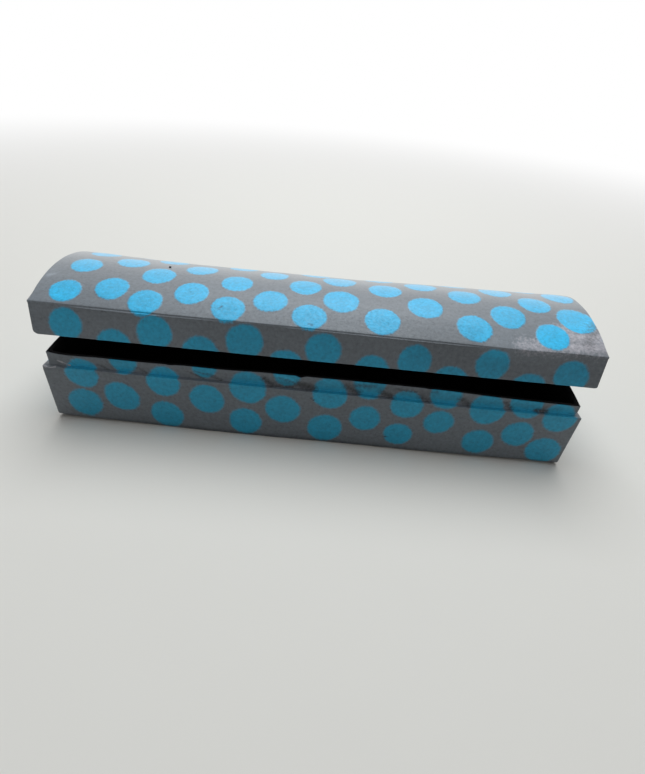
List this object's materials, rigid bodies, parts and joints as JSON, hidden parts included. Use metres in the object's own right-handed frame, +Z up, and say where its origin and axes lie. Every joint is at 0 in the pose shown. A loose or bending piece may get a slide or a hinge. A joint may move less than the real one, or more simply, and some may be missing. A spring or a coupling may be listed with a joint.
{
  "type": "papier-mache pencil case",
  "caption": "Long papier-mache box with a raised inner neck and a hinged lid with an arched top, painted grey with blue dots, standing ajar.",
  "frame": {"origin": "centre of the flat underside, on the surface that the case stands on", "axes": "+X along the case to the picture's right, +Y from the front to the hinged back, +Z up"},
  "size_m": [0.221, 0.0727, 0.0613],
  "materials": {
    "painted_paper": "satin acrylic paint, gunmetal grey with blue dots",
    "painted_neck_paper": "satin acrylic paint, scuffed",
    "black_lining_paper": "matt black",
    "greyboard": "matt pressed greyboard",
    "hinge_paper": "satin acrylic paint on a pasted paper strip"
  },
  "bodies": {
    "box": {"base_paper": "painted_paper", "floor_board": "greyboard", "front_wall_board": "greyboard", "back_wall_board": "greyboard", "left_wall_board": "greyboard", "right_wall_board": "greyboard", "neck_front_board": "greyboard", "neck_back_board": "greyboard", "neck_left_board": "greyboard", "neck_right_board": "greyboard", "box_side_paper": "painted_paper", "neck_paper": "painted_neck_paper", "box_lining_paper": "black_lining_paper", "hinge_strip_box_half": "hinge_paper"},
    "lid": {"lid_top_board": "greyboard", "lid_front_board": "greyboard", "lid_back_board": "greyboard", "lid_left_board": "greyboard", "lid_right_board": "greyboard", "lid_side_paper": "painted_paper", "lid_top_paper": "painted_paper", "lid_lining_paper": "black_lining_paper", "hinge_strip_lid_half": "hinge_paper"}
  },
  "joints": [
    {"name": "lid_hinge", "type": "hinge", "parent": "box", "child": "lid", "pos_m": [0, 0.0353, 0.02725], "axis": [-1, 0, 0], "range_deg": [-11.5, 165]}
  ]
}
